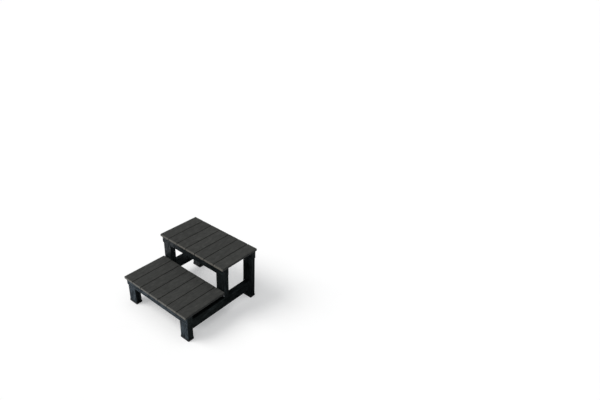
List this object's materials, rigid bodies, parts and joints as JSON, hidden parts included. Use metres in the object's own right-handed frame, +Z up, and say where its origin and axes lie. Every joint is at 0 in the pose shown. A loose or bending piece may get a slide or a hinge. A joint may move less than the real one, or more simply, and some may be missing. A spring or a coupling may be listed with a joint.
{
  "type": "spa steps",
  "caption": "Free-standing two-tier spa steps: gapped boards running front to back on cross beams, side rails and capped legs.",
  "frame": {"origin": "middle of the footprint on the floor, under the middle of the tread plan", "axes": "+Z up, -Y toward the person stepping up (front), +Y toward the spa, +X to the right seen from the front"},
  "size_m": [0.68, 0.697, 0.435],
  "materials": {
    "deck_board": "matt charcoal composite board with a fine brushed grain and lighter taupe cut ends",
    "frame_lumber": "satin blue-black plastic lumber with a faint embossed wood grain",
    "foot_cap": "matt black moulded",
    "screw_steel": "stainless, slightly dull",
    "bracket_steel": "zinc-plated, dull spangle"
  },
  "bodies": {
    "root": {"beam_screws": "screw_steel", "bracket_screws": "screw_steel", "front_foot_cap_left": "foot_cap", "front_foot_cap_right": "foot_cap", "front_leg_left": "frame_lumber", "front_leg_right": "frame_lumber", "front_rail_bracket_left": "bracket_steel", "front_rail_bracket_right": "bracket_steel", "hung_beam_screws": "screw_steel", "lower_front_beam": "frame_lumber", "lower_front_deck_screws": "screw_steel", "lower_rear_beam": "frame_lumber", "lower_rear_deck_screws": "screw_steel", "lower_tread_board_1": "deck_board", "lower_tread_board_2": "deck_board", "lower_tread_board_3": "deck_board", "lower_tread_board_4": "deck_board", "lower_tread_board_5": "deck_board", "lower_tread_board_6": "deck_board", "lower_tread_board_7": "deck_board", "mid_post_left": "frame_lumber", "mid_post_right": "frame_lumber", "post_bracket_left": "bracket_steel", "post_bracket_right": "bracket_steel", "post_bracket_screws": "screw_steel", "post_screws": "screw_steel", "rear_foot_cap_left": "foot_cap", "rear_foot_cap_right": "foot_cap", "rear_leg_left": "frame_lumber", "rear_leg_right": "frame_lumber", "rear_rail_bracket_left": "bracket_steel", "rear_rail_bracket_right": "bracket_steel", "side_rail_left": "frame_lumber", "side_rail_right": "frame_lumber", "upper_front_beam": "frame_lumber", "upper_front_deck_screws": "screw_steel", "upper_rear_beam": "frame_lumber", "upper_rear_deck_screws": "screw_steel", "upper_tread_board_1": "deck_board", "upper_tread_board_2": "deck_board", "upper_tread_board_3": "deck_board", "upper_tread_board_4": "deck_board", "upper_tread_board_5": "deck_board", "upper_tread_board_6": "deck_board", "upper_tread_board_7": "deck_board"}
  },
  "joints": []
}
